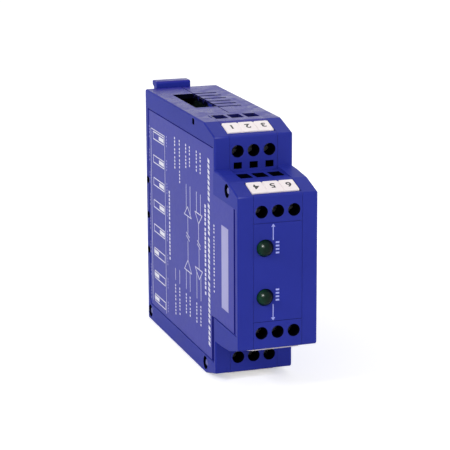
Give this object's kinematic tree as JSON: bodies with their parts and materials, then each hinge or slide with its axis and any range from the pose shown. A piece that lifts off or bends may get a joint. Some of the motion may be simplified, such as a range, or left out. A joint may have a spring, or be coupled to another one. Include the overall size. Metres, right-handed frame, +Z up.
{
  "type": "isolated repeater module",
  "caption": "Slim rail-mounted isolated repeater module: two-shell housing with stepped terminal tiers, marker strips, lamps, setting switches and a sprung rail latch.",
  "frame": {"origin": "middle of the rail seat: middle of the width and of the rail's height, on the raised land of the back that the rail's flanges bear on", "axes": "+X to the right seen from the front, +Y out of the back into the rail, +Z up from the fixed claw to the latch"},
  "size_m": [0.025, 0.1032, 0.0819],
  "materials": {
    "housing": "satin moulded blue",
    "terminal_block": "satin moulded blue",
    "marker": "smooth white",
    "label": "printed foil",
    "spring_steel": "drawn wire",
    "plated_steel": "zinc plated",
    "plated_brass": "nickel plated",
    "lamp_lens": "dark tinted",
    "board": "solder resist",
    "switch_body": "moulded",
    "switch_lever": "moulded",
    "black_part": "moulded epoxy",
    "capacitor_can": "sleeved can"
  },
  "bodies": {
    "housing": {"left_shell": "housing", "right_shell": "housing", "front_panel": "housing", "rear_block_upper": "terminal_block", "front_block_upper": "terminal_block", "front_block_lower": "terminal_block", "rear_block_lower": "terminal_block", "marker_rear_upper": "marker", "marker_front_upper": "marker", "marker_front_lower": "marker", "marker_rear_lower": "marker", "side_label": "label", "main_board": "board", "clamp_bodies": "plated_brass", "clamp_screws": "plated_steel", "solder_pins": "plated_brass", "status_lamp_upper": "lamp_lens", "status_lamp_lower": "lamp_lens", "lamp_leads": "plated_steel", "switch_block_rear": "switch_body", "switch_block_front": "switch_body", "power_converters": "black_part", "optocouplers": "black_part", "line_drivers": "black_part", "electrolytic_capacitors": "capacitor_can", "surge_diodes": "black_part", "chip_resistors": "black_part", "input_choke": "black_part", "voltage_regulator": "black_part"},
    "latch": {"din_latch": "housing", "latch_spring": "spring_steel"},
    "lever_1": {"switch_lever_1": "switch_lever"},
    "lever_2": {"switch_lever_2": "switch_lever"},
    "lever_3": {"switch_lever_3": "switch_lever"},
    "lever_4": {"switch_lever_4": "switch_lever"},
    "lever_5": {"switch_lever_5": "switch_lever"},
    "lever_6": {"switch_lever_6": "switch_lever"},
    "lever_7": {"switch_lever_7": "switch_lever"},
    "lever_8": {"switch_lever_8": "switch_lever"}
  },
  "joints": [
    {"name": "latch_slide", "type": "slide", "parent": "housing", "child": "latch", "axis": [0, 0, 1], "range_m": [0, 0.003], "stiffness_N_per_m": 800, "springref_m": -0.002, "deforming": ["latch_spring"]},
    {"name": "lever_1_slide", "type": "slide", "parent": "housing", "child": "lever_1", "axis": [1, 0, 0], "range_m": [0, 0.0016]},
    {"name": "lever_2_slide", "type": "slide", "parent": "housing", "child": "lever_2", "axis": [1, 0, 0], "range_m": [0, 0.0016]},
    {"name": "lever_3_slide", "type": "slide", "parent": "housing", "child": "lever_3", "axis": [1, 0, 0], "range_m": [0, 0.0016]},
    {"name": "lever_4_slide", "type": "slide", "parent": "housing", "child": "lever_4", "axis": [1, 0, 0], "range_m": [0, 0.0016]},
    {"name": "lever_5_slide", "type": "slide", "parent": "housing", "child": "lever_5", "axis": [1, 0, 0], "range_m": [0, 0.0016]},
    {"name": "lever_6_slide", "type": "slide", "parent": "housing", "child": "lever_6", "axis": [-1, 0, 0], "range_m": [0, 0.0016]},
    {"name": "lever_7_slide", "type": "slide", "parent": "housing", "child": "lever_7", "axis": [-1, 0, 0], "range_m": [0, 0.0016]},
    {"name": "lever_8_slide", "type": "slide", "parent": "housing", "child": "lever_8", "axis": [-1, 0, 0], "range_m": [0, 0.0016]}
  ]
}
